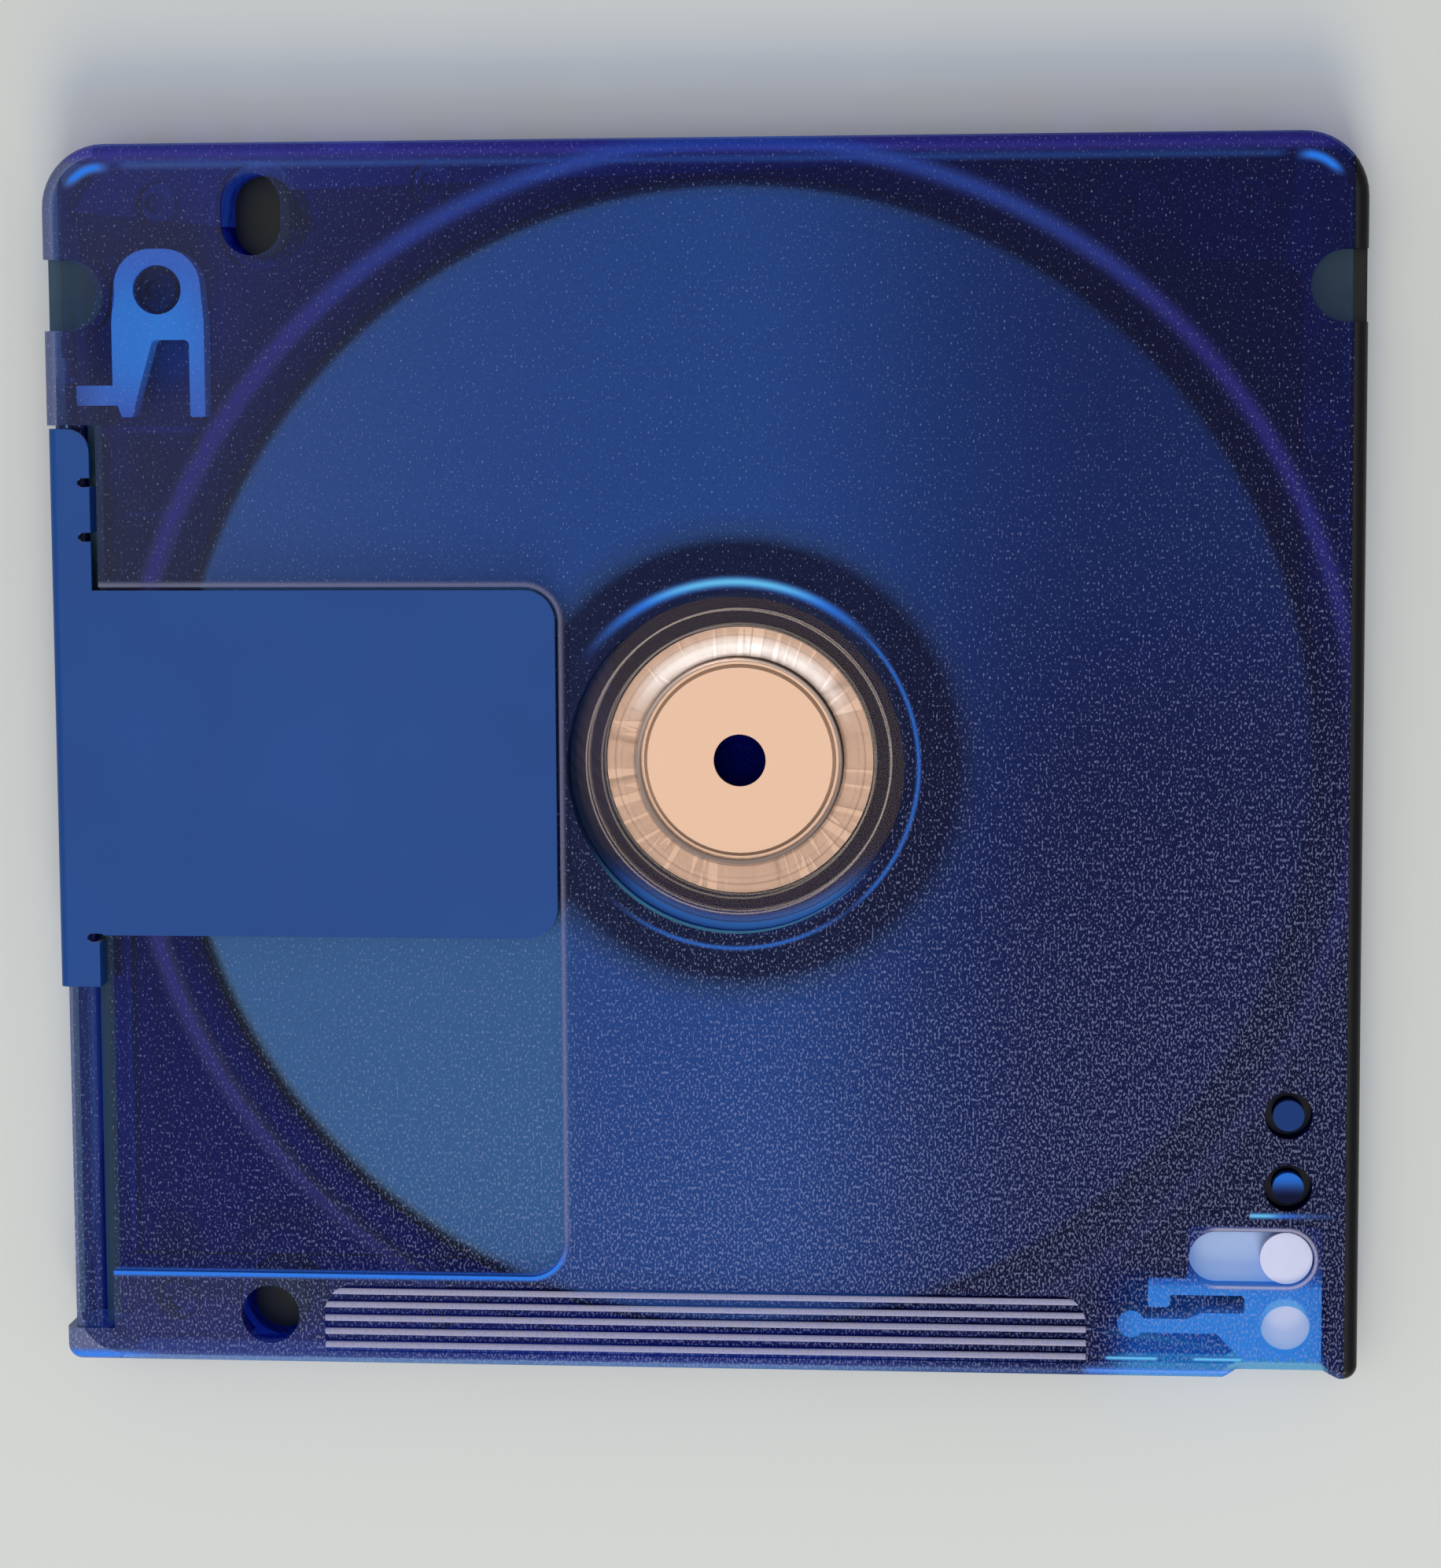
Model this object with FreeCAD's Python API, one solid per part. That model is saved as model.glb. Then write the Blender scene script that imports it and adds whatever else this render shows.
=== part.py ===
import FreeCAD, Part
import math
import os

from FreeCAD import Vector

# Recordable disc cartridge, lying on its label side with its hub side up.
# X runs across it with the shutter's guide rail at -X, +Y is the end that goes into a player
# first, and Z is 0 on the label side. All sizes are in millimetres.

# Disc, a clear plastic plate with a steel clamping plate held in a ring on its label side
disc_d = 64.0
disc_t = 1.2
disc_edge_r = 0.2
disc_hole_r = 5.5
hole_lead_r = 1.0
plate_r = 7.4
plate_t = 0.3
plate_hole_r = 1.45
plate_dome_r = 5.35
plate_dome_h = 0.2
plate_gap = 0.08
hub_ring_w = 0.92
hub_ring_h = 0.45

# Shell walls, and the room that the disc turns in
disc_gap = 1.0
wall = 1.0
guide_margin = 4.0
label_plate = 1.1
hub_plate = 1.1
rest_rib_h = 0.5
rest_gap = 0.15
disc_float = 0.35
hub_rib_h = 0.6
chamber_gap = 1.4
chamber_wall = 0.8
rear_wall = 1.3
rear_lip = 0.25

# The cartridge is as large as its disc, gaps and walls, with a margin for the rail
width = disc_d + 2 * (disc_gap + wall) + guide_margin
depth = disc_d + 2 * (disc_gap + wall)
thickness = label_plate + rest_rib_h + rest_gap + disc_t + disc_float + hub_rib_h + hub_plate
parting_z = thickness / 2
left = -width / 2
right = width / 2
rear = -depth / 2
front = depth / 2
floor_z = label_plate
roof_z = thickness - hub_plate
disc_x = guide_margin / 2
disc_z0 = floor_z + rest_rib_h + rest_gap
disc_z1 = disc_z0 + disc_t
chamber_r = disc_d / 2 + chamber_gap

# Outside corners and the rounding where the faces meet the sides
front_corner_r = 3.5
rear_corner_r = 0.8
edge_r = 0.6

# Hub opening with its rib, and the rib that the disc rests on
hub_open_r = 9.25
hub_rib_w = 0.8
rest_rib_r = 9.1
rest_rib_w = 0.9

# Folded metal shutter, and the sunk channel that it slides in
sheet_t = 0.3
sheet_gap = 0.1
sheet_sink = 0.1
bend_r = 0.5
shutter_half_w = 9.6
shutter_corner_r = 1.75
shutter_hub_gap = 0.6
label_side_short = 2.65
strip_w = 2.3
strip_from_front = 15.5
strip_corner_r = 1.3
relief_w = 0.7
relief_h = 0.5
tab_len = 2.5
channel_from_rear = 5.4
channel_end_gap = 0.1
strip_channel_from_rear = 2.1
strip_end_gap = 0.5
channel_side_gap = 0.2
channel_corner_r = 1.95
groove_side_gap = 0.4
groove_depth = 1.1
rail_back_w = 1.1
aperture_half_w = 8.6
aperture_bar = 1.75
aperture_edge_gap = 0.4
aperture_r = 0.8
recess_depth = sheet_sink + sheet_t + sheet_gap
rail_x = left + sheet_sink + sheet_t + sheet_gap
shutter_end = disc_x - hub_open_r - shutter_hub_gap
label_shutter_end = shutter_end - label_side_short
channel_front = shutter_half_w + channel_side_gap
channel_rear = rear + channel_from_rear
shutter_travel = -shutter_half_w - channel_end_gap - channel_rear
strip_front = front - strip_from_front
strip_channel_front = strip_front + channel_side_gap
strip_channel_rear = rear + strip_channel_from_rear
strip_rear = strip_channel_rear + strip_end_gap + shutter_travel
strip_x1 = left + sheet_sink + strip_w
groove_x0 = strip_x1 - sheet_t - sheet_gap
groove_x1 = strip_x1 + groove_side_gap
rail_back_x = groove_x1 + rail_back_w

# Tongue on the folded edge of the shutter, with the tooth that the lock lever stands behind
tongue_h = 0.8
tongue_from_front = 12.7
tongue_front = front - tongue_from_front
tooth_reach = 1.0
slot_h = 1.1

# Holes that pins of a player find the cartridge by
pin_hole_r = 1.65
pin_hole_x = 11.7
pin_slot_len = 4.45
pin_slot_y = 3.9
pin_hole_y = 3.05
pin_boss_wall = 0.8

# Loading notches in both long sides, open to the hub side only
notch_r = 1.95
notch_reach = 3.05
notch_y = 8.2
notch_depth = 1.6
notch_floor_t = 0.5
notch_wall = 0.5

# Blind ring recesses that tell a player the kind of disc
code_x = 3.85
code_pitch = 4.0
code_y = 10.95
code_r = 1.3
code_island_r = 0.85
code_depth = 1.5
code_boss_wall = 0.5

# Write-protect slider, its two windows in the hub side and its thumb notch in the rear edge
pad_x = 3.9
pad_y = 7.0
pad_r = 1.425
pad_gap = 0.075
pad_sink = 0.25
sense_dy = 3.95
sense_r = 1.35
slide_travel = 3.8
slider_gap = 0.1
slider_side = 2.0
slider_front = 1.55
slider_step = 2.2
slider_head = 5.35
slider_corner_r = 0.4
bar_reach = 7.5
bar_drop = 1.4
bar_w = 0.95
bar_hook_w = 1.2
bar_hook_h = 0.7
arm_slot_w = 1.0
arm_drop = 1.35
arm_reach = 8.425
thumb_depth = 0.6
thumb_x0 = 1.9
thumb_x1 = 6.6
thumb_slope = 0.8
thumb_end_slope = 1.0
guide_rib_w = 0.5
arm_w = 0.8
arm_tip_r = 0.75
tooth_pitch = 0.8
tooth_r = 0.22

# Lock lever on its pivot boss
pivot_x = 5.9
pivot_y = 7.9
pivot_r = 1.3
pivot_gap = 0.05
lever_t = 1.5
lever_gap = 0.15
lever_head_r = 2.25
lever_half_w = 2.6
lever_len = 7.0
lever_neck = 1.8
lever_crotch = 2.75
lever_leg_w = 0.85
lever_toe_x = 1.5
lever_toe_w = 0.6
lever_corner_r = 0.3
room_rib_w = 0.4
room_rib_y = 15.8
room_rib_l = 4.4
room_rib_drop = 2.1
low_rib_y = 20.5
low_rib_l = 3.3
claw_w = 1.1
claw_t = 0.6
claw_clear = 0.15

# Bosses that line the halves up, each a pin in the label side and a socket in the hub side,
# and each by its distance from the side and from the end that it stands near
bosses_left_front = [(6.0, 3.2), (21.3, 2.2)]
bosses_right_front = [(17.9, 2.3), (6.3, 3.4), (2.2, 16.0)]
bosses_left_rear = [(5.9, 3.3), (21.5, 2.6)]
bosses_right_rear = [(18.2, 2.6), (2.2, 17.4), (7.2, 11.2)]
boss_r = 1.25
post_r = 0.5
post_gap = 0.05
post_h = 0.8
big_boss_r = 2.0
big_boss_from_right = 12.8
big_boss_from_front = 3.8
side_rib_y = 13.4
side_rib_w = 0.4

# Grip ribs in the hub side near the rear edge
grip_half_l = 21.2
grip_from_rear = 1.0
grip_w = 3.8
grip_depth = 0.35
grip_corner_r = 1.6
grip_count = 5
grip_rib_w = 0.45

# Label side: the sunk label field and an arrow that shows the way in
label_field_w = 38.0
label_field_l = 54.0
label_depth = 0.2
label_corner_r = 1.2
label_from_right = 3.2
arrow_w = 3.0
arrow_l = 2.2
arrow_depth = 0.2
arrow_from_front = 4.6

# Small recesses: the gate of the mould in the front edge and a finger flat in the right edge
gate_x = 15.4
gate_w = 3.4
gate_depth = 0.4
gate_h = 0.8
flat_y0 = 4.6
flat_y1 = 12.5
flat_depth = 0.3
flat_h = 2.0


def box(x0, x1, y0, y1, z0, z1):
    """Block between two corners."""
    return Part.makeBox(x1 - x0, y1 - y0, z1 - z0, Vector(x0, y0, z0))


def cyl(x, y, r, z0, z1):
    """Upright cylinder."""
    return Part.makeCylinder(r, z1 - z0, Vector(x, y, z0))


def ring(x, y, r_in, r_out, z0, z1):
    """Upright ring."""
    return cyl(x, y, r_out, z0, z1).cut(cyl(x, y, r_in, z0, z1))


def slab(corners, z0, z1):
    """Flat piece whose outline goes through corners (x, y, rounding radius)."""
    legs = []
    for i, (x, y, r) in enumerate(corners):
        here = Vector(x, y, z0)
        back = Vector(corners[i - 1][0], corners[i - 1][1], z0) - here
        ahead = Vector(corners[(i + 1) % len(corners)][0], corners[(i + 1) % len(corners)][1], z0) - here
        back.normalize()
        ahead.normalize()
        if r == 0:
            legs.append((here, None, here))
            continue
        half = back.getAngle(ahead) / 2
        bisector = back + ahead
        bisector.normalize()
        centre = here + bisector * (r / math.sin(half))
        reach = r / math.tan(half)
        legs.append((here + back * reach, centre - bisector * r, here + ahead * reach))
    edges = []
    for i, (start, middle, end) in enumerate(legs):
        if middle is not None:
            edges.append(Part.Arc(start, middle, end).toShape())
        following = legs[(i + 1) % len(legs)][0]
        if end.distanceToPoint(following) > 1e-6:
            edges.append(Part.LineSegment(end, following).toShape())
    return Part.Face(Part.Wire(edges)).extrude(Vector(0, 0, z1 - z0))


def rounded(x0, x1, y0, y1, r, z0, z1):
    """Block with its four upright edges rounded."""
    return slab([(x0, y0, r), (x1, y0, r), (x1, y1, r), (x0, y1, r)], z0, z1)


def joined(solids):
    """One solid from pieces that meet or overlap."""
    return solids[0].multiFuse(solids[1:]).removeSplitter()


def edges_at(solid, z):
    """Edges that lie flat at height z."""
    return [e for e in solid.Edges if abs(e.BoundBox.ZMin - z) < 1e-4 and abs(e.BoundBox.ZMax - z) < 1e-4]


def from_left(x):
    return left + x


def from_right(x):
    return right - x


pivot = (from_left(pivot_x), front - pivot_y)
pad = (from_right(pad_x), rear + pad_y)
pin_slot = (from_left(pin_hole_x), front - pin_slot_y)
pin_hole = (from_left(pin_hole_x), rear + pin_hole_y)
notches = [(left, 1), (right, -1)]
bosses = [(from_left(x), front - y) for x, y in bosses_left_front]
bosses += [(from_right(x), front - y) for x, y in bosses_right_front]
bosses += [(from_left(x), rear + y) for x, y in bosses_left_rear]
bosses += [(from_right(x), rear + y) for x, y in bosses_right_rear]
big_boss = (from_right(big_boss_from_right), front - big_boss_from_front)


def half_block(face_z, rear_y):
    """Outer form of one half, from the parting plane to its face, with a rounded face edge."""
    corners = [
        (left, rear_y, rear_corner_r), (right, rear_y, rear_corner_r),
        (right, front, front_corner_r), (left, front, front_corner_r),
    ]
    block = slab(corners, min(face_z, parting_z), max(face_z, parting_z))
    return block.makeFillet(edge_r, edges_at(block, face_z))


def cavity(z0, z1):
    """Room inside the side walls."""
    return rounded(left + wall, right - wall, rear + rear_wall, front - wall, 0.5, z0, z1)


def slider_room(z0, z1):
    """Space that the write-protect slider needs over its whole travel."""
    x0 = pad[0] - arm_reach - arm_tip_r - slide_travel - slider_gap
    x1 = pad[0] + slider_side + slider_gap
    return box(x0, x1, rear + thumb_depth + rear_lip, pad[1] + slider_front + slider_gap, z0, z1)


def lever_room(z0, z1):
    """Space that the lock lever needs round its pivot, down to its feet."""
    x0 = pivot[0] - lever_half_w - lever_gap
    x1 = pivot[0] + lever_half_w + lever_gap
    return box(x0, x1, pivot[1] - lever_len - lever_gap, pivot[1] + lever_head_r + lever_gap, z0, z1)


def inner_walls(z0, z1):
    """Walls and bosses that both halves have, in the same places."""
    pieces = [ring(disc_x, 0, chamber_r, chamber_r + chamber_wall, z0, z1)]
    pieces.append(box(rail_x, rail_back_x, strip_channel_rear - wall, strip_channel_front, z0, z1))
    pieces.append(box(left, rail_back_x, rear, strip_channel_rear, z0, z1))
    pieces += [cyl(x, y, boss_r, z0, z1) for x, y in bosses]
    pieces.append(cyl(big_boss[0], big_boss[1], big_boss_r, z0, z1))
    pieces += lever_room_ribs(z0, z1)
    ring_x = disc_x + math.sqrt(chamber_r ** 2 - side_rib_y ** 2)
    pieces.append(box(ring_x, right, side_rib_y - side_rib_w / 2, side_rib_y + side_rib_w / 2, z0, z1))
    walls = pieces[0].multiFuse(pieces[1:]).cut([slider_room(z0, z1), lever_room(z0, z1)])
    walls = walls.cut(cyl(disc_x, 0, chamber_r, z0, z1))
    guide_y = pad[1] + slider_front + slider_gap
    rib = box(pad[0] - pad_r, right - wall, guide_y, guide_y + guide_rib_w, z0, z1)
    return joined([walls, rib, cyl(pivot[0], pivot[1], pivot_r, z0, z1), pin_bosses(z0, z1)])


def lever_room_ribs(z0, z1):
    """Ribs that stiffen the shell between the lever and the disc's chamber."""
    x0 = pivot[0] - lever_half_w + room_rib_w
    x1 = x0 + room_rib_l
    y = front - room_rib_y
    low_y = front - low_rib_y
    return [
        box(x0, x1, y, y + room_rib_w, z0, z1),
        box(x1 - room_rib_w, x1, y - room_rib_drop, y, z0, z1),
        box(x0, x0 + low_rib_l, low_y, low_y + room_rib_w, z0, z1),
    ]


def pin_bosses(z0, z1):
    """Outside of the sleeves round the slot and the hole that locate the cartridge."""
    r = pin_hole_r + pin_boss_wall
    return cyl(pin_hole[0], pin_hole[1], r, z0, z1).fuse(pin_slot_form(r, z0, z1))


def pin_slot_form(r, z0, z1):
    """Slot along Y; its straight part is the same for the slot and its sleeve."""
    reach = pin_slot_len / 2 - pin_hole_r + r
    return rounded(pin_slot[0] - r, pin_slot[0] + r, pin_slot[1] - reach, pin_slot[1] + reach,
                   r - 0.01, z0, z1)


def pin_holes(z0, z1):
    """The slot and the round hole."""
    return cyl(pin_hole[0], pin_hole[1], pin_hole_r, z0, z1).fuse(pin_slot_form(pin_hole_r, z0, z1))


def shutter_channel(z0, z1, end_x):
    """Sunk channel of the shutter's plate and strip on one face, with the rail's side set back."""
    plate = rounded(rail_x, end_x + channel_side_gap, channel_rear, channel_front,
                    channel_corner_r, z0, z1)
    corner = box(rail_x, rail_x + strip_w + channel_corner_r, channel_rear, channel_front, z0, z1)
    strip_x1 = left + sheet_sink + strip_w + 2 * channel_side_gap
    strip = slab([(left, strip_channel_rear, 0), (strip_x1, strip_channel_rear, 0.3),
                  (strip_x1, strip_channel_front, strip_corner_r), (left, strip_channel_front, 0)], z0, z1)
    return plate.fuse(corner).fuse(strip)


def rail_side(z0, z1):
    """Material taken off the left side so that the shutter's fold stays inside the outline."""
    return box(left - 1, rail_x, strip_channel_rear, strip_channel_front, z0, z1)


def guide_groove(z0, z1):
    """Groove that the shutter's bent tabs run in."""
    return box(groove_x0, groove_x1, strip_channel_rear, strip_channel_front, z0, z1)


def aperture(z0, z1, end_x):
    """Window over the disc that the shutter closes, its outer end following the disc's edge."""
    opening = rounded(left, end_x, -aperture_half_w, aperture_half_w, aperture_r, z0, z1)
    return opening.common(cyl(disc_x, 0, chamber_r - aperture_edge_gap, z0, z1))


def thumb_notch(rear_y):
    """Shallow notch in the rear edge, where the slider can be reached."""
    y1 = rear_y + thumb_depth
    x0 = from_right(thumb_x1)
    x1 = from_right(thumb_x0)
    return slab([(x0 - thumb_slope, rear_y, 0), (x0, y1, 0), (x1, y1, 0), (x1 + thumb_end_slope, rear_y, 0),
                 (x1 + thumb_end_slope, rear - 1, 0), (x0 - thumb_slope, rear - 1, 0)], 0, thickness)


def lock_slot():
    """Slot in the left edge for a player's pin, the shutter's tongue and the lever's claw."""
    z0 = parting_z - slot_h / 2
    z1 = parting_z + slot_h / 2
    outer = box(left - 1, rail_x, strip_channel_front, front + 1, z0, z1)
    inner = box(left - 1, pivot[0] - pivot_r, strip_channel_front, tongue_front + slot_h, z0, z1)
    tooth_x = left + sheet_sink + tooth_reach + sheet_gap
    path = box(left - 1, tooth_x, tongue_front - shutter_travel - slot_h, strip_channel_front, z0, z1)
    return outer.multiFuse([inner, path])


def notch_form(side_x, way, r, z0, z1):
    """U-shaped notch from one side, reaching inwards along way."""
    y = front - notch_y
    end = side_x + way * (notch_reach + r - notch_r)
    centre = end - way * r
    mouth = box(min(side_x - way, centre), max(side_x - way, centre), y - r, y + r, z0, z1)
    return mouth.fuse(cyl(centre, y, r, z0, z1))


def hub_side_shell():
    """Half with the hub opening, the slider's windows and the finding holes."""
    block = half_block(thickness, rear + rear_lip)
    floor_z_of_notch = thickness - notch_depth
    solids = [block.cut(cavity(parting_z, roof_z)), inner_walls(parting_z, roof_z)]
    solids.append(ring(disc_x, 0, hub_open_r, hub_open_r + hub_rib_w, roof_z - hub_rib_h, roof_z))
    for side_x, way in notches:
        solids.append(notch_form(side_x, way, notch_r + notch_wall, floor_z_of_notch - notch_floor_t, roof_z))
    codes = [(from_right(code_x), rear + code_y + i * code_pitch) for i in range(2)]
    for x, y in codes:
        solids.append(cyl(x, y, code_r + code_boss_wall, thickness - code_depth - code_boss_wall, roof_z))
    shell = joined(solids).common(block)
    cuts = [
        shutter_channel(thickness - recess_depth, thickness + 1, shutter_end),
        rail_side(0, thickness),
        guide_groove(thickness - recess_depth - groove_depth, thickness),
        aperture(roof_z - 1, thickness, disc_x - hub_open_r - aperture_bar),
        cyl(disc_x, 0, hub_open_r, roof_z - hub_rib_h, thickness),
        pin_holes(parting_z, thickness),
        thumb_notch(rear + rear_lip),
        lock_slot(),
        slider_window(roof_z - 0.5, thickness),
        cyl(pad[0], pad[1] - sense_dy, sense_r, roof_z, thickness),
        slider_room(parting_z, roof_z),
        gate_mark(),
        finger_flat(),
        grip_field(),
    ]
    cuts += [notch_form(side_x, way, notch_r, floor_z_of_notch, thickness) for side_x, way in notches]
    cuts += [ring(x, y, code_island_r, code_r, thickness - code_depth, thickness) for x, y in codes]
    cuts += [cyl(x, y, post_r + post_gap, parting_z, parting_z + post_h + post_gap) for x, y in posts()]
    return shell.cut(cuts).removeSplitter()


def posts():
    """Places of all the pins between the halves, the lever's pivot included."""
    return bosses + [big_boss, pivot]


def slider_window(z0, z1):
    """Oblong window that the slider's raised pad moves in."""
    r = pad_r + pad_gap
    x0 = pad[0] - slide_travel - r
    return rounded(x0, pad[0] + r, pad[1] - r, pad[1] + r, r - 0.01, z0, z1)


def gate_mark():
    """Small flat pocket in the front edge at the parting plane, where the plastic came in."""
    x0 = from_left(gate_x)
    return box(x0, x0 + gate_w, front - gate_depth, front + 1, parting_z, parting_z + gate_h)


def finger_flat():
    """Shallow flat in the right edge."""
    return box(right - flat_depth, right + 1, flat_y0, flat_y1, parting_z - flat_h / 2, parting_z + flat_h / 2)


def grip_field():
    """Sunk field with its ribs left standing."""
    y0 = rear + grip_from_rear
    y1 = y0 + grip_w
    floor = thickness - grip_depth
    field = slab([(-grip_half_l, y0, 0.1), (grip_half_l, y0, 0.1), (grip_half_l, y1, grip_corner_r),
                  (-grip_half_l, y1, grip_corner_r)], floor, thickness + 0.1)
    pitch = grip_w / grip_count
    ribs = []
    for i in range(grip_count):
        y = y0 + (i + 0.5) * pitch
        rib = box(-grip_half_l, grip_half_l, y - grip_rib_w / 2, y + grip_rib_w / 2, floor - 0.1, thickness)
        top = [e for e in edges_at(rib, thickness) if e.Length > grip_half_l]
        ribs.append(rib.makeFillet(grip_rib_w * 0.4, top))
    return field.cut(ribs)


def label_side_shell():
    """Half that the disc rests on, with the label field and the pins."""
    block = half_block(0, rear)
    solids = [block.cut(cavity(floor_z, parting_z)), inner_walls(floor_z, parting_z)]
    solids.append(ring(disc_x, 0, rest_rib_r, rest_rib_r + rest_rib_w, floor_z, floor_z + rest_rib_h))
    shell = joined(solids).common(block)
    label_x1 = right - label_from_right
    arrow_x = (label_shutter_end + channel_side_gap + left) / 2
    arrow_y = front - arrow_from_front
    cuts = [
        shutter_channel(-1, recess_depth, label_shutter_end),
        rail_side(0, thickness),
        guide_groove(0, recess_depth + groove_depth),
        aperture(0, floor_z + 1, disc_x - hub_open_r - aperture_bar - label_side_short),
        pin_holes(floor_z, parting_z),
        thumb_notch(rear),
        lock_slot(),
        slider_room(floor_z, parting_z),
        finger_flat(),
        rounded(label_x1 - label_field_w, label_x1, -label_field_l / 2, label_field_l / 2,
                label_corner_r, 0, label_depth),
        slab([(arrow_x - arrow_w / 2, arrow_y, 0), (arrow_x + arrow_w / 2, arrow_y, 0),
              (arrow_x, arrow_y + arrow_l, 0)], 0, arrow_depth),
    ]
    shell = shell.cut(cuts)
    pins = [cyl(x, y, post_r, parting_z - 0.2, parting_z + post_h) for x, y in posts()]
    return joined([shell] + pins)


def shutter():
    """One folded sheet: a strip round the left edge, and a plate on each face."""
    x0 = left + sheet_sink
    z0 = sheet_sink
    z1 = thickness - sheet_sink
    strip_x1 = x0 + strip_w
    length = strip_front - strip_rear
    fold = box(x0, strip_x1 + 1, strip_rear, strip_front, z0, z1)
    inside = box(x0 + sheet_t, strip_x1 + 2, strip_rear - 1, strip_front + 1, z0 + sheet_t, z1 - sheet_t)
    fold = fold.makeFillet(bend_r, upright_edges(fold, x0, length))
    inside = inside.makeFillet(bend_r - sheet_t, upright_edges(inside, x0 + sheet_t, length + 2))
    ends = slab([(x0 - 1, strip_rear, 0), (strip_x1, strip_rear, 0.15),
                 (strip_x1, strip_front, strip_corner_r), (x0 - 1, strip_front, 0)], z0, z1)
    solids = [fold.cut(inside).common(ends)]
    for end_x, low in ((shutter_end, z1 - sheet_t), (label_shutter_end, z0)):
        solids.append(slab([(strip_x1 - 1, -shutter_half_w, 0), (end_x, -shutter_half_w, shutter_corner_r),
                            (end_x, shutter_half_w, shutter_corner_r), (strip_x1 - 1, shutter_half_w, 0)],
                           low, low + sheet_t))
    body = joined(solids).cut([relief(x, y, z0, z1) for x, y in reliefs(strip_x1)])
    return joined([body, tongue(x0)] + guide_tabs(strip_x1, z0, z1))


def upright_edges(solid, x, length):
    """Long edges of a box on its side at x."""
    return [e for e in solid.Edges
            if abs(e.Length - length) < 1e-4 and abs(e.BoundBox.XMin - x) < 1e-4 and abs(e.BoundBox.XMax - x) < 1e-4]


def tab_places():
    """Front and rear edge of each guide tab."""
    middle = (strip_front + shutter_half_w) / 2
    return [(middle - tab_len / 2, middle + tab_len / 2), (strip_rear, strip_rear + tab_len)]


def reliefs(strip_x1):
    """Middles of the small cuts that free the ends of the guide tabs."""
    front_tab, rear_tab = tab_places()
    return [(strip_x1, front_tab[0] - relief_h / 2), (strip_x1, front_tab[1] + relief_h / 2),
            (strip_x1, rear_tab[1] + relief_h / 2)]


def relief(x, y, z0, z1):
    """Round-ended cut through the strip on both faces."""
    r = relief_h / 2 - 0.01
    slot = rounded(x - relief_w, x + 1.2 * r, y - relief_h / 2, y + relief_h / 2, r, z0, z1)
    return slot


def guide_tabs(strip_x1, z0, z1):
    """Tabs bent into the guide grooves of both faces."""
    reach = recess_depth + groove_depth - sheet_gap - sheet_sink
    tabs = []
    for y0, y1 in tab_places():
        for low, high in ((z1 - reach, z1), (z0, z0 + reach)):
            tabs.append(box(strip_x1 - sheet_t, strip_x1, y0, y1, low, high))
    return tabs


def tongue(x0):
    """Tongue in the left slot, with a tooth bent inwards at its end."""
    z0 = parting_z - tongue_h / 2
    z1 = parting_z + tongue_h / 2
    blade = box(x0, x0 + sheet_t, strip_front - 1, tongue_front, z0, z1)
    tooth = box(x0, x0 + tooth_reach, tongue_front - sheet_t, tongue_front, z0, z1)
    return blade.fuse(tooth)


def shutter_lock_lever():
    """Springy lever whose claw keeps the shutter from sliding open."""
    z0 = floor_z + lever_gap
    z1 = z0 + lever_t
    px, py = pivot
    tip_x = left + sheet_sink + tooth_reach + claw_clear
    head_y = py + lever_head_r
    neck_y = py - lever_neck
    crotch_y = py - lever_crotch
    foot_y = py - lever_len
    leg_x = px + lever_half_w - lever_leg_w
    toe_x = px - lever_toe_x
    body = slab([
        (px - lever_head_r, head_y, lever_head_r - 0.2), (px - lever_half_w, neck_y, 2 * lever_corner_r),
        (px - lever_half_w, foot_y + lever_crotch / 2, 2 * lever_corner_r),
        (toe_x - lever_toe_w, foot_y, lever_corner_r / 2), (toe_x, foot_y, lever_corner_r / 2),
        (toe_x + lever_toe_w / 2, foot_y + lever_toe_w * 2, lever_corner_r),
        (toe_x + lever_toe_w * 2, crotch_y, lever_corner_r), (leg_x, crotch_y, lever_corner_r),
        (leg_x, foot_y, lever_corner_r / 2), (px + lever_half_w, foot_y, lever_corner_r / 2),
        (px + lever_half_w, neck_y, 2 * lever_corner_r), (px + lever_head_r, head_y, lever_head_r - 0.2),
    ], z0, z1)
    claw_y1 = tongue_front - sheet_t - claw_clear
    claw_z0 = parting_z - tongue_h / 2
    claw = box(tip_x, px - lever_half_w + lever_toe_w, claw_y1 - claw_w, claw_y1, claw_z0, claw_z0 + claw_t)
    return joined([body, claw]).cut(cyl(px, py, pivot_r + pivot_gap, z0, z1)).removeSplitter()


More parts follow.
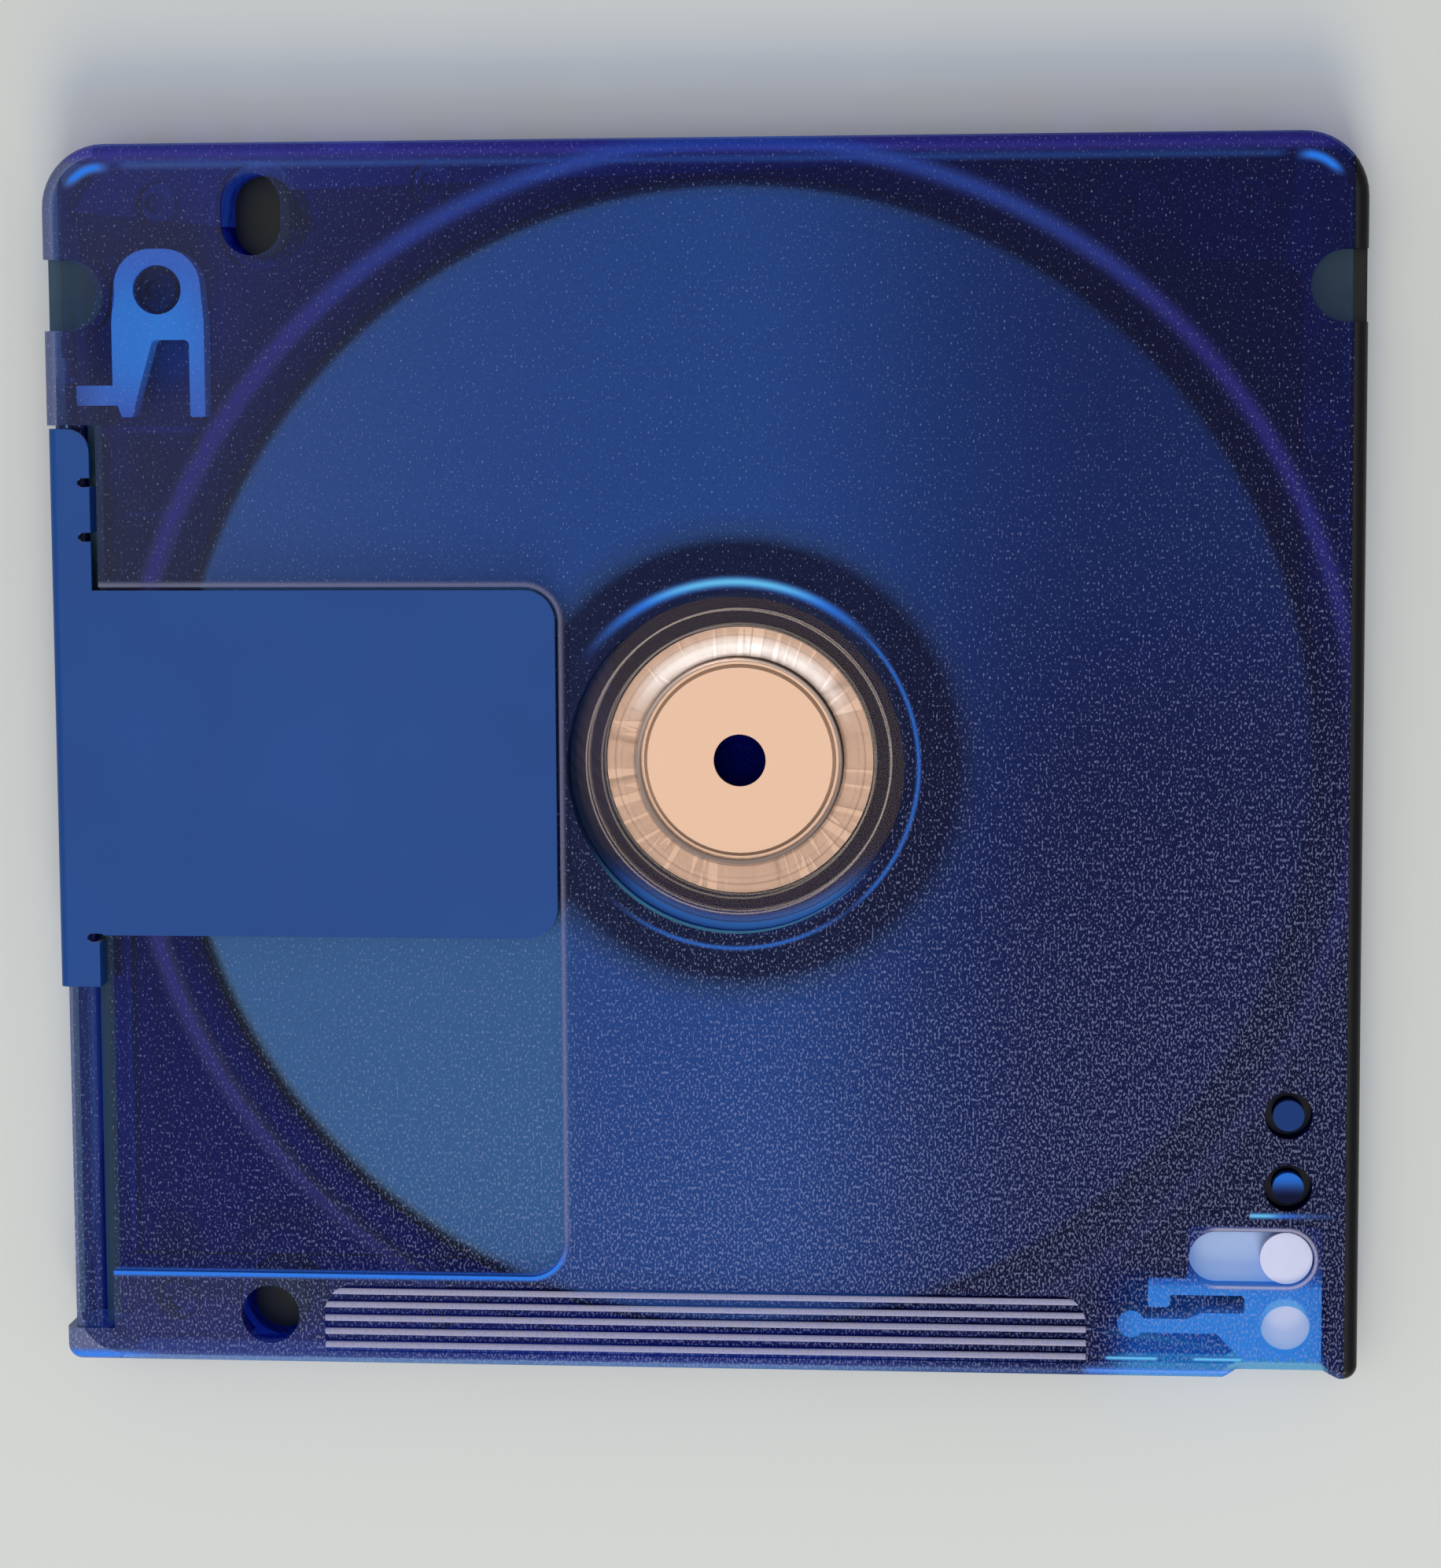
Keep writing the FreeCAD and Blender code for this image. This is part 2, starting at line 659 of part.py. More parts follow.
def write_protect_tab():
    """Slider with a raised pad, a sensing flat and a springy arm."""
    z0 = floor_z + slider_gap
    z1 = roof_z - slider_gap
    x1 = pad[0] + slider_side
    front_y = pad[1] + slider_front
    step_x = pad[0] - slider_step
    head_x = pad[0] - slider_head
    bar_x = pad[0] - bar_reach
    rear_y = rear + thumb_depth + rear_lip + slider_gap
    bar_y1 = pad[1] - bar_drop
    bar_y0 = bar_y1 - bar_w
    slot_y = bar_y0 - arm_slot_w
    arm_y1 = bar_y0 - arm_drop
    arm_y0 = arm_y1 - arm_w
    tip_x = pad[0] - arm_reach
    r = slider_corner_r
    body = slab([
        (x1, front_y, r), (head_x, front_y, r), (head_x, bar_y1, r / 2), (bar_x, bar_y1, r / 2),
        (bar_x, bar_y0 - bar_hook_h, r / 2), (bar_x + bar_hook_w, bar_y0 - bar_hook_h, r / 2),
        (bar_x + bar_hook_w, bar_y0, r / 2), (step_x, bar_y0, r / 2), (step_x, slot_y, r / 2),
        (head_x + arm_w, slot_y, r / 2), (head_x, arm_y1, r / 2), (tip_x, arm_y1, 0), (tip_x, arm_y0, 0),
        (head_x + 2 * arm_w, arm_y0, r / 2), (step_x, rear_y, r / 2), (x1, rear_y, r),
    ], z0, z1)
    tip = cyl(tip_x, arm_y1 - arm_w * 0.4, arm_tip_r, z0, z1)
    raised = cyl(pad[0], pad[1], pad_r, z1, thickness - pad_sink)
    grooves = []
    for i in range(4):
        x = x1 - (i + 1) * tooth_pitch
        grooves.append(cyl(x, rear_y, tooth_r, parting_z, z1))
    return joined([body, tip, raised]).cut(grooves)


def disc():
    """Clear disc with a rounded lead-in to its hole, and a ring round the clamping plate."""
    body = ring(disc_x, 0, disc_hole_r, disc_d / 2, disc_z0, disc_z1)
    hole_edge = [e for e in edges_at(body, disc_z1) if e.Length < math.pi * disc_d / 2]
    body = body.makeFillet(hole_lead_r, hole_edge)
    rim = [e for e in body.Edges if abs(e.Length - math.pi * disc_d) < 0.01]
    body = body.makeFillet(disc_edge_r, rim)
    r_in = plate_r + plate_gap
    return joined([body, ring(disc_x, 0, r_in, r_in + hub_ring_w, disc_z0 - hub_ring_h, disc_z0)])


def clamping_plate():
    """Thin steel plate with a raised middle and a small centre hole, drawn from sheet."""
    z1 = disc_z0
    z0 = z1 - plate_t
    dome = plate_dome_h
    section = [
        (plate_hole_r, z0 + dome), (plate_dome_r - dome, z0 + dome), (plate_dome_r, z0),
        (plate_r, z0), (plate_r, z1), (plate_dome_r, z1), (plate_dome_r - dome, z1 + dome),
        (plate_hole_r, z1 + dome), (plate_hole_r, z0 + dome),
    ]
    wire = Part.makePolygon([Vector(disc_x + r, 0, z) for r, z in section])
    return Part.Face(wire).revolve(Vector(disc_x, 0, 0), Vector(0, 0, 1), 360)


def save(name, shape):
    """Write one piece after making sure that it is a single sound solid."""
    solids = shape.Solids
    print(name, "solids", len(solids), "valid", shape.isValid(), "volume", round(shape.Volume, 2),
          "faces", len(shape.Faces))
    solids[0].exportStep("parts/" + name + ".step")


os.makedirs("parts", exist_ok=True)
save("label_side_shell", label_side_shell())
save("hub_side_shell", hub_side_shell())
save("shutter", shutter())
save("shutter_lock_lever", shutter_lock_lever())
save("write_protect_tab", write_protect_tab())
save("disc", disc())
save("clamping_plate", clamping_plate())
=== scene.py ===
import math

import bmesh
import bpy
from mathutils import Matrix, Vector

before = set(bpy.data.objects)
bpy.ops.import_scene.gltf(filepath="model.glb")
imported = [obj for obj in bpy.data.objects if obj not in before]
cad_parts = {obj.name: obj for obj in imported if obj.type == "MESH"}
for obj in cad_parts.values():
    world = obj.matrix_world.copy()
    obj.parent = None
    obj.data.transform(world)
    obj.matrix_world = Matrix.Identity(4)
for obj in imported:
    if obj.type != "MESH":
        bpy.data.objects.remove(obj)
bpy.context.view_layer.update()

# Label-side shell half, which lies on the table and carries the disc.
# Injection-moulded polycarbonate dyed a deep blue that light passes through, with a fine
# spark-eroded grain on its outside. The other half is welded to it all round its edge.


def linear(hex_colour):
    """Turns an sRGB hex colour into the linear values that the shaders take."""
    parts = [int(hex_colour[i:i + 2], 16) / 255 for i in (1, 3, 5)]
    return tuple(p / 12.92 if p <= 0.04045 else ((p + 0.055) / 1.055) ** 2.4 for p in parts) + (1.0,)


def add(tree, kind, sockets=(), **settings):
    """Adds one node; sockets pairs an input with a value or with another node's output."""
    node = tree.nodes.new(kind)
    for name, value in settings.items():
        setattr(node, name, value)
    for socket, source in dict(sockets).items():
        if isinstance(source, bpy.types.NodeSocket):
            tree.links.new(source, node.inputs[socket])
        else:
            node.inputs[socket].default_value = source
    return node


def new_material(name):
    """An empty material and its node tree, with only the output in it."""
    material = bpy.data.materials.new(name)
    material.use_nodes = True
    tree = material.node_tree
    tree.nodes.clear()
    return material, tree, add(tree, "ShaderNodeOutputMaterial")


def finish_node(node, material):
    """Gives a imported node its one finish."""
    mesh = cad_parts[node].data
    mesh.materials.clear()
    mesh.materials.append(material)
    for face in mesh.polygons:
        face.material_index = 0


SHELL_SKIN = "#2B3070"
SHELL_PAINTED_LEFT_LIGHT = "#62698E"
SHELL_PAINTED_SHADE_BLACK = "#050409"
SHELL_PAINTED_GLOW_PURPLE = "#3D33AE"
SHELL_PAINTED_GLOW = "#1283FF"
SHELL_PAINTED_GLOW_CORE = "#6AD0FF"
SHELL_GRAIN_GLINT = "#959DCC"
SHELL_PAINTED_HIGHLIGHT = "#B9B4CC"
SHELL_NOTCH_PAINTED_SHADE = "#2E4650"
SHELL_LENS = "#B8E9FF"
SHELL_PAINTED_SHADE_TINT = "#6F87B6"
PIN_HOLE_MM = (-24.3, -30.95, 0.0)
PIN_SLOT_MM = (-24.3, 30.1, 0.0)
PIN_FLOOR_MM = 1.3
PIN_REACH_MM = 2.4
LEVER_MM = (-30.3, 23.7, 0.0)
REST_RIB_MM = 9.2
SHELL_GRAIN_MM = (0.11, 0.19)
SHELL_ROUGHNESS = 0.36
PARTING_MM = 2.5
OUTER_FACE_MM = 1.45
SIDE_WALL_MM = 0.7
LEFT_WALL_MM = -33.0
RIGHT_WALL_MM = 35.25
LEVEL_AT = 0.7
AFT_SLOPE = (0.6, -1.2, 0.0)
MOST_CLEAR = 0.95
LEAST_CLEAR = 0.12
CHAMBER_X_MM = 2.0
CHAMBER_RIB_MM = 33.8
FRONT_WALL_MM = 32.8
OUTLINE_HALF_MM = (36.0, 34.0)
OUTLINE_CORNER_MM = 3.4


def maths(tree, operation, *values):
    return add(tree, "ShaderNodeMath", dict(enumerate(values)), operation=operation).outputs[0]


def vectors(tree, operation, *values):
    return add(tree, "ShaderNodeVectorMath", dict(enumerate(values)), operation=operation).outputs[0]


def in_mm(tree):
    """The place on the piece, in millimetres."""
    place = add(tree, "ShaderNodeTexCoord").outputs["Object"]
    return add(tree, "ShaderNodeVectorMath", {0: place, "Scale": 1000.0}, operation="SCALE").outputs[0]


def split(tree, vector):
    return add(tree, "ShaderNodeSeparateXYZ", {0: vector}).outputs


def span(tree, point, other=(0.0, 0.0, 0.0)):
    return add(tree, "ShaderNodeVectorMath", {0: point, 1: other}, operation="DISTANCE").outputs["Value"]


def ramp(tree, value, start, end, low=0.0, high=1.0):
    """low up to start, high from end on, and a soft slope between them."""
    return add(tree, "ShaderNodeMapRange", {"Value": value, "From Min": start, "From Max": end, "To Min": low,
                                            "To Max": high}, interpolation_type="SMOOTHSTEP").outputs[0]


def band(tree, value, centre, reach):
    """1 where value is at centre, and softly down to 0 at reach from it."""
    off = maths(tree, "ABSOLUTE", maths(tree, "SUBTRACT", value, centre))
    return ramp(tree, off, reach, 0.0)


def blend(tree, factor, first, second):
    return add(tree, "ShaderNodeMix", {0: factor, 6: first, 7: second}, data_type="RGBA").outputs[2]


def product(tree, first, *others):
    for other in others:
        first = maths(tree, "MULTIPLY", first, other)
    return first


def most(tree, first, *others):
    for other in others:
        first = maths(tree, "MAXIMUM", first, other)
    return first


def from_corner(tree, flat, middle, half, corner):
    """Distance from the corner's centre, which is corner all along the outline of a rounded rectangle."""
    past = vectors(tree, "ABSOLUTE", vectors(tree, "SUBTRACT", flat, middle + (0.0,)))
    inner = tuple(size - corner for size in half) + (0.0,)
    return span(tree, vectors(tree, "MAXIMUM", vectors(tree, "SUBTRACT", past, inner), (0.0, 0.0, 0.0)))


def shell_plastic(name, clear, thick_tint, thin_tint, lamp_tint, thin_mm, marks):
    """Dyed polycarbonate with painted light and shade: its skin shows on outer faces alone, and inner ones
    only tint what is behind.

    clear is the share that passes the skin, the tints are for walls, for the thin floor at height
    thin_mm and for a lamp's rays, and marks makes the masks that only one half has.
    """
    material, tree, output = new_material(name)
    mm = in_mm(tree)
    x, y, z = split(tree, mm)
    flat = vectors(tree, "MULTIPLY", mm, (1.0, 1.0, 0.0))
    upward = split(tree, add(tree, "ShaderNodeNewGeometry").outputs["True Normal"])["Z"]
    level = maths(tree, "GREATER_THAN", maths(tree, "ABSOLUTE", upward), LEVEL_AT)
    from_seam = maths(tree, "ABSOLUTE", maths(tree, "SUBTRACT", z, PARTING_MM))
    at_right = maths(tree, "GREATER_THAN", x, RIGHT_WALL_MM)
    to_outline = from_corner(tree, flat, (0.0, 0.0), OUTLINE_HALF_MM, OUTLINE_CORNER_MM)
    at_side = maths(tree, "GREATER_THAN", to_outline, OUTLINE_CORNER_MM - SIDE_WALL_MM)
    at_left = product(tree, at_side, maths(tree, "LESS_THAN", x, LEFT_WALL_MM), 0.9)
    radius = span(tree, flat, (CHAMBER_X_MM, 0.0, 0.0))
    own = marks(tree, flat, (x, y, z), level, radius)
    outer = most(tree, at_side, maths(tree, "GREATER_THAN", from_seam, OUTER_FACE_MM), own["seen"])

    # painted glow for the light that the ribs gather: a soft purple over the chamber's wall and the front
    # wall, bluer forward, and painted glints in each front corner
    aft = add(tree, "ShaderNodeVectorMath", {0: flat, 1: AFT_SLOPE}, operation="DOT_PRODUCT").outputs["Value"]
    beside = maths(tree, "ABSOLUTE", x)
    ring = product(tree, band(tree, radius, CHAMBER_RIB_MM, 0.9), ramp(tree, aft, -10.0, 40.0, 0.7, 0.2))
    front = ramp(tree, y, FRONT_WALL_MM, FRONT_WALL_MM + 0.6, 0.0, 0.75)
    front_line = product(tree, band(tree, y, FRONT_WALL_MM, 0.35), ramp(tree, beside, 32.0, 31.0), 0.3)
    purple = most(tree, ring, front)
    corner_glints = product(tree, band(tree, to_outline, OUTLINE_CORNER_MM - 1.3, 0.45), ramp(tree, y, 31.4, 32.2),
                      ramp(tree, beside, 31.8, 33.0))
    blue_ring = product(tree, ring, ramp(tree, y, 22.0, 32.0, 0.0, 0.45))
    glow = most(tree, own["glow"], corner_glints, front_line, blue_ring)

    # spark-eroded grain, with its glints painted as short pale flecks, few at the front left and dense
    # towards the rear right
    stretched = vectors(tree, "DIVIDE", mm, SHELL_GRAIN_MM + (1.0,))
    flecks = add(tree, "ShaderNodeTexNoise", {"Vector": stretched, "Scale": 1.0, "Detail": 1.0},
                 noise_dimensions="2D").outputs[0]
    least = ramp(tree, aft, -18.0, 42.0, 0.67, 0.51)
    fleck = ramp(tree, maths(tree, "SUBTRACT", flecks, least), 0.0, 0.13)
    bare = maths(tree, "SUBTRACT", 1.0, most(tree, glow, at_right, own["bare"]))
    grain = product(tree, fleck, level, bare)

    # what the skin itself shows, from the dye through painted light, glow, shade and highlights up to the
    # painted glints of the flecks on top
    # painted light: the skin is paler towards the left side
    left_lit_skin = blend(tree, ramp(tree, x, 0.0, -34.0), linear(SHELL_SKIN), linear(SHELL_PAINTED_LEFT_LIGHT))
    skin = blend(tree, purple, left_lit_skin, linear(SHELL_PAINTED_GLOW_PURPLE))
    # painted glow, paler in its middle
    lit_skin = blend(tree, glow, skin, blend(tree, own["glow_core"], linear(SHELL_PAINTED_GLOW), linear(SHELL_PAINTED_GLOW_CORE)))
    # painted shade: the notch floors turn a shaded grey-teal
    notch_shaded_skin = blend(tree, own["sunk"], lit_skin, linear(SHELL_NOTCH_PAINTED_SHADE))
    # painted shade: the right side wall and the floors that a half's marks name turn near black and opaque
    painted_shade = most(tree, at_right, own["painted_shade"])
    shaded_skin = blend(tree, painted_shade, notch_shaded_skin, linear(SHELL_PAINTED_SHADE_BLACK))
    # painted highlights along the rims, rib tops and edges that a half's marks name
    highlighted_skin = blend(tree, own["pale"], shaded_skin, linear(SHELL_PAINTED_HIGHLIGHT))
    speckled = blend(tree, grain, highlighted_skin, linear(SHELL_GRAIN_GLINT))
    surface = add(tree, "ShaderNodeBsdfPrincipled", {
        "Base Color": speckled, "Roughness": SHELL_ROUGHNESS, "IOR": 1.58, "Specular IOR Level": 0.2})

    # what shows through it: clearer over the lever and the slider, where white plastic lies close under
    near_lever = ramp(tree, span(tree, flat, LEVER_MM), 5.0, 1.5, 0.0, 0.85)
    near_slider = product(tree, ramp(tree, x, 20.5, 24.0), ramp(tree, y, -27.0, -29.0),
                          ramp(tree, x, 34.6, 34.0))
    lens = most(tree, near_lever, near_slider)
    thin = maths(tree, "COMPARE", z, thin_mm, 0.06)
    # painted shade: what shows through turns darker towards the right, most of all towards the rear
    shade = product(tree, ramp(tree, x, 2.0, 24.0), ramp(tree, y, 16.0, -8.0, 0.5, 1.0))
    right_shaded_tint = blend(tree, shade, linear(thick_tint), linear(SHELL_PAINTED_SHADE_TINT))
    tint = blend(tree, lens, blend(tree, thin, right_shaded_tint, linear(thin_tint)), linear(SHELL_LENS))
    see = add(tree, "ShaderNodeBsdfTransparent", {"Color": tint})
    covered = most(tree, product(tree, purple, 0.5), glow, product(tree, grain, 0.33), own["pale"],
                   product(tree, own["sunk"], 0.7), at_left, painted_shade)
    thinner = most(tree, lens, product(tree, thin, 0.7))
    clearest = add(tree, "ShaderNodeMix", {0: thinner, 2: clear, 3: MOST_CLEAR}).outputs[0]
    veiled = add(tree, "ShaderNodeMix", {0: covered, 2: clearest, 3: LEAST_CLEAR}).outputs[0]
    veil = product(tree, veiled, maths(tree, "SUBTRACT", 1.0, painted_shade))
    skinned = add(tree, "ShaderNodeMixShader", {0: veil, 1: surface.outputs[0], 2: see.outputs[0]})
    mixed = add(tree, "ShaderNodeMixShader", {0: outer, 1: see.outputs[0], 2: skinned.outputs[0]})

    # a lamp's ray meets the dye alone, so that light reaches the pieces inside
    from_lamp = add(tree, "ShaderNodeLightPath").outputs["Is Shadow Ray"]
    through = add(tree, "ShaderNodeBsdfTransparent", {"Color": linear(lamp_tint)})
    lit = add(tree, "ShaderNodeMixShader", {0: from_lamp, 1: mixed.outputs[0], 2: through.outputs[0]})
    tree.links.new(lit.outputs[0], output.inputs["Surface"])
    return material


def label_half_marks(tree, flat, place, level, radius):
    """Painted shade, near black, on the floors of the locating holes, and a painted glow on the disc's rest
    as the opening's side lights it.
    """
    _, y, z = place
    to_pin = maths(tree, "MINIMUM", span(tree, flat, PIN_HOLE_MM), span(tree, flat, PIN_SLOT_MM))
    # painted shade on the locating holes' floors
    pin_floor = product(tree, maths(tree, "LESS_THAN", to_pin, PIN_REACH_MM),
                        maths(tree, "LESS_THAN", z, PIN_FLOOR_MM), level)
    # painted glow on the disc's rest, towards the rear
    rest = product(tree, band(tree, radius, REST_RIB_MM, 1.0), ramp(tree, y, -4.0, -8.0),
                   maths(tree, "LESS_THAN", z, 1.7))
    return {"seen": most(tree, pin_floor, rest), "glow": rest, "glow_core": product(tree, rest, 0.4), "sunk": 0.0,
            "painted_shade": pin_floor, "pale": 0.0, "bare": pin_floor}


finish_node("label_side_shell", shell_plastic(
    "moulded_blue_polycarbonate_label_half", 0.78, "#7785D0", "#8F9FE0", "#707EC5", 0.5, label_half_marks))

# Disc, loose in its chamber and resting on the low ring in the middle of the label-side half.
# Moulded clear polycarbonate; from its hub ring outwards it carries a sputtered mirror layer
# under lacquer, which stops a little short of the rim. The layer is too thin to be a piece.
DISC_CLEAR_IOR = 1.4
MIRROR_IN_MM = 12.6
MIRROR_OUT_MM = 31.2
DISC_CLEAR = "#FEFEFF"
DISC_MIRROR = "#8A9198"
DISC_EDGE_HIGHLIGHT = "#DCCBC4"
DISC_SHINE = "#B9A898"
DISC_EDGE_HIGHLIGHTS_MM = ((8.42, 0.08, 0.4), (7.55, 0.1, 0.25), (6.6, 0.1, 0.12), (5.6, 0.28, 0.9))


def disc_plastic(name):
    """Clear by its Fresnel share of shine, opaque where the mirror layer shows or where painted highlights
    line its moulded edges.
    """
    material, tree, output = new_material(name)
    flat = vectors(tree, "MULTIPLY", in_mm(tree), (1.0, 1.0, 0.0))
    radius = span(tree, flat, (CHAMBER_X_MM, 0.0, 0.0))
    layer = product(tree, ramp(tree, radius, MIRROR_IN_MM - 0.9, MIRROR_IN_MM + 1.4),
                    ramp(tree, radius, MIRROR_OUT_MM + 0.5, MIRROR_OUT_MM - 0.4))
    # painted highlights: thin pale rings along the moulded edges, and a broad one on the wall of the centre
    # hole
    lines = most(tree, *[product(tree, band(tree, radius, at, reach), strength)
                         for at, reach, strength in DISC_EDGE_HIGHLIGHTS_MM])
    shown = blend(tree, layer, blend(tree, lines, linear(DISC_SHINE), linear(DISC_EDGE_HIGHLIGHT)), linear(DISC_MIRROR))
    body = add(tree, "ShaderNodeBsdfPrincipled", {
        "Base Color": shown, "Roughness": ramp(tree, layer, 0.0, 1.0, 0.1, 0.4),
        "Metallic": maths(tree, "MINIMUM", ramp(tree, layer, 0.0, 1.0, 1.0, 0.6),
                          maths(tree, "SUBTRACT", 1.0, lines))})
    see = add(tree, "ShaderNodeBsdfTransparent", {"Color": linear(DISC_CLEAR)})
    share = most(tree, layer, lines, add(tree, "ShaderNodeFresnel", {"IOR": DISC_CLEAR_IOR}).outputs[0])
    mixed = add(tree, "ShaderNodeMixShader", {0: share, 1: see.outputs[0], 2: body.outputs[0]})
    tree.links.new(mixed.outputs[0], output.inputs["Surface"])
    return material


finish_node("disc", disc_plastic("clear_polycarbonate_with_mirror_layer"))

# Clamping plate in the middle of the disc, which a player's magnet pulls on.
# Pressed from thin magnetic stainless sheet, left bright, and held by the ring that is moulded
# round it. Its warm tone is a painted reflection of warm light.
PLATE_STEEL_WARM_REFLECTION = "#CCA88F"
PLATE_LINE = "#94705C"
PLATE_PAINTED_HIGHLIGHT = "#FFF4EA"
PLATE_LINES_MM = ((5.62, 0.1), (5.9, 0.08), (6.95, 0.08))
PLATE_ROUND_MM = 6.3


def pressed_steel(name):
    """Bright sheet with fine darker rings, and a painted highlight along a round on one side."""
    material, tree, output = new_material(name)
    mm = in_mm(tree)
    y = split(tree, mm)["Y"]
    flat = vectors(tree, "MULTIPLY", mm, (1.0, 1.0, 0.0))
    radius = span(tree, flat, (CHAMBER_X_MM, 0.0, 0.0))
    lines = most(tree, *[band(tree, radius, at, reach) for at, reach in PLATE_LINES_MM])
    # painted highlight on the round, on its front side
    lit = product(tree, band(tree, radius, PLATE_ROUND_MM, 0.9), ramp(tree, y, 1.5, 5.5))
    lined = blend(tree, product(tree, lines, 0.6), linear(PLATE_STEEL_WARM_REFLECTION), linear(PLATE_LINE))
    colour = blend(tree, lit, lined, linear(PLATE_PAINTED_HIGHLIGHT))
    grain = add(tree, "ShaderNodeTexNoise", {"Vector": mm, "Scale": 6.0, "Detail": 2.0})
    rough = add(tree, "ShaderNodeMapRange", {"Value": grain.outputs[0], "To Min": 0.26, "To Max": 0.32})
    upward = split(tree, add(tree, "ShaderNodeNewGeometry").outputs["Normal"])["Z"]
    sheer = ramp(tree, maths(tree, "ABSOLUTE", upward), 0.995, 0.9, 1.0, 0.2)
    metal = add(tree, "ShaderNodeBsdfPrincipled", {"Base Color": colour, "Metallic": sheer,
                                                   "Roughness": rough.outputs[0]})
    tree.links.new(metal.outputs[0], output.inputs["Surface"])
    return material


finish_node("clamping_plate", pressed_steel("pressed_bright_stainless_sheet"))

# Lock lever and write-protect slider, laid into the label-side half before it is closed.
# Both are small mouldings of natural white acetal, which is slippery and springy: it is milky,
# with a faint cool cast and a soft waxy shine.
ACETAL_WHITE = "#D3D5F0"
ACETAL_PAINTED_SHADE = "#A9C0EA"
ACETAL_TOP_MM = 3.8
ACETAL_SHADED_MM = -28.8


def acetal(name):
    """Milky white with faint flow marks, and painted bluer on the slider's low face, where the shell shades
    it.
    """
    material, tree, output = new_material(name)
    mm = in_mm(tree)
    _, y, z = split(tree, mm)
    flow = add(tree, "ShaderNodeTexNoise", {"Vector": mm, "Scale": 0.9, "Detail": 2.0})
    tone = add(tree, "ShaderNodeMapRange", {"Value": flow.outputs[0], "To Min": 0.94, "To Max": 1.03})
    # painted shade: the slider's low face, under the shell, turns bluer
    deep = product(tree, band(tree, z, ACETAL_TOP_MM, 0.3), maths(tree, "GREATER_THAN", y, ACETAL_SHADED_MM))
    white = blend(tree, deep, linear(ACETAL_WHITE), linear(ACETAL_PAINTED_SHADE))
    colour = add(tree, "ShaderNodeMix", {0: 1.0, 6: white, 7: tone.outputs[0]},
                 data_type="RGBA", blend_type="MULTIPLY")
    body = add(tree, "ShaderNodeBsdfPrincipled", {
        "Base Color": colour.outputs[2], "Roughness": 0.42, "IOR": 1.48})
    tree.links.new(body.outputs[0], output.inputs["Surface"])
    return material


white_acetal = acetal("natural_white_acetal")
finish_node("shutter_lock_lever", white_acetal)
finish_node("write_protect_tab", white_acetal)

# Hub-side shell half, put on last and welded down. The same dyed polycarbonate, but with the
# wider opening, so that more light gets into it and what lies inside shows through.
NOTCH_FLOOR_MM = 3.4
GROOVE_FLOOR_MM = 3.5
WINDOW_MIDDLE_MM = (30.2, -27.0)
WINDOW_HALF_MM = (3.4, 1.5)
HUB_OPENING_MM = 9.25
HUB_RIB_MM = 10.05
CHANNEL_MIDDLE_MM = (-33.8, -9.4)
CHANNEL_HALF_MM = (26.15, 19.2)
CHANNEL_CORNER_MM = 1.95
GRIP_MIDDLE_MM = (0.0, -33.1)
GRIP_HALF_MM = (21.2, 3.9)
GRIP_CORNER_MM = 1.6
GRIP_REAR_MM = -33.0
GRIP_TOP_MM = 4.9
HUB_FACE_MM = 4.4
GUIDE_END_MM = -24.6
REAR_WALL_MM = -32.65
LEDGE_MM = -33.4
REAR_EDGE_MM = -33.75
CODE_RINGS_MM = ((32.15, -19.05, 0.0), (32.15, -23.05, 0.0))
CODE_ISLAND_MM = 0.85


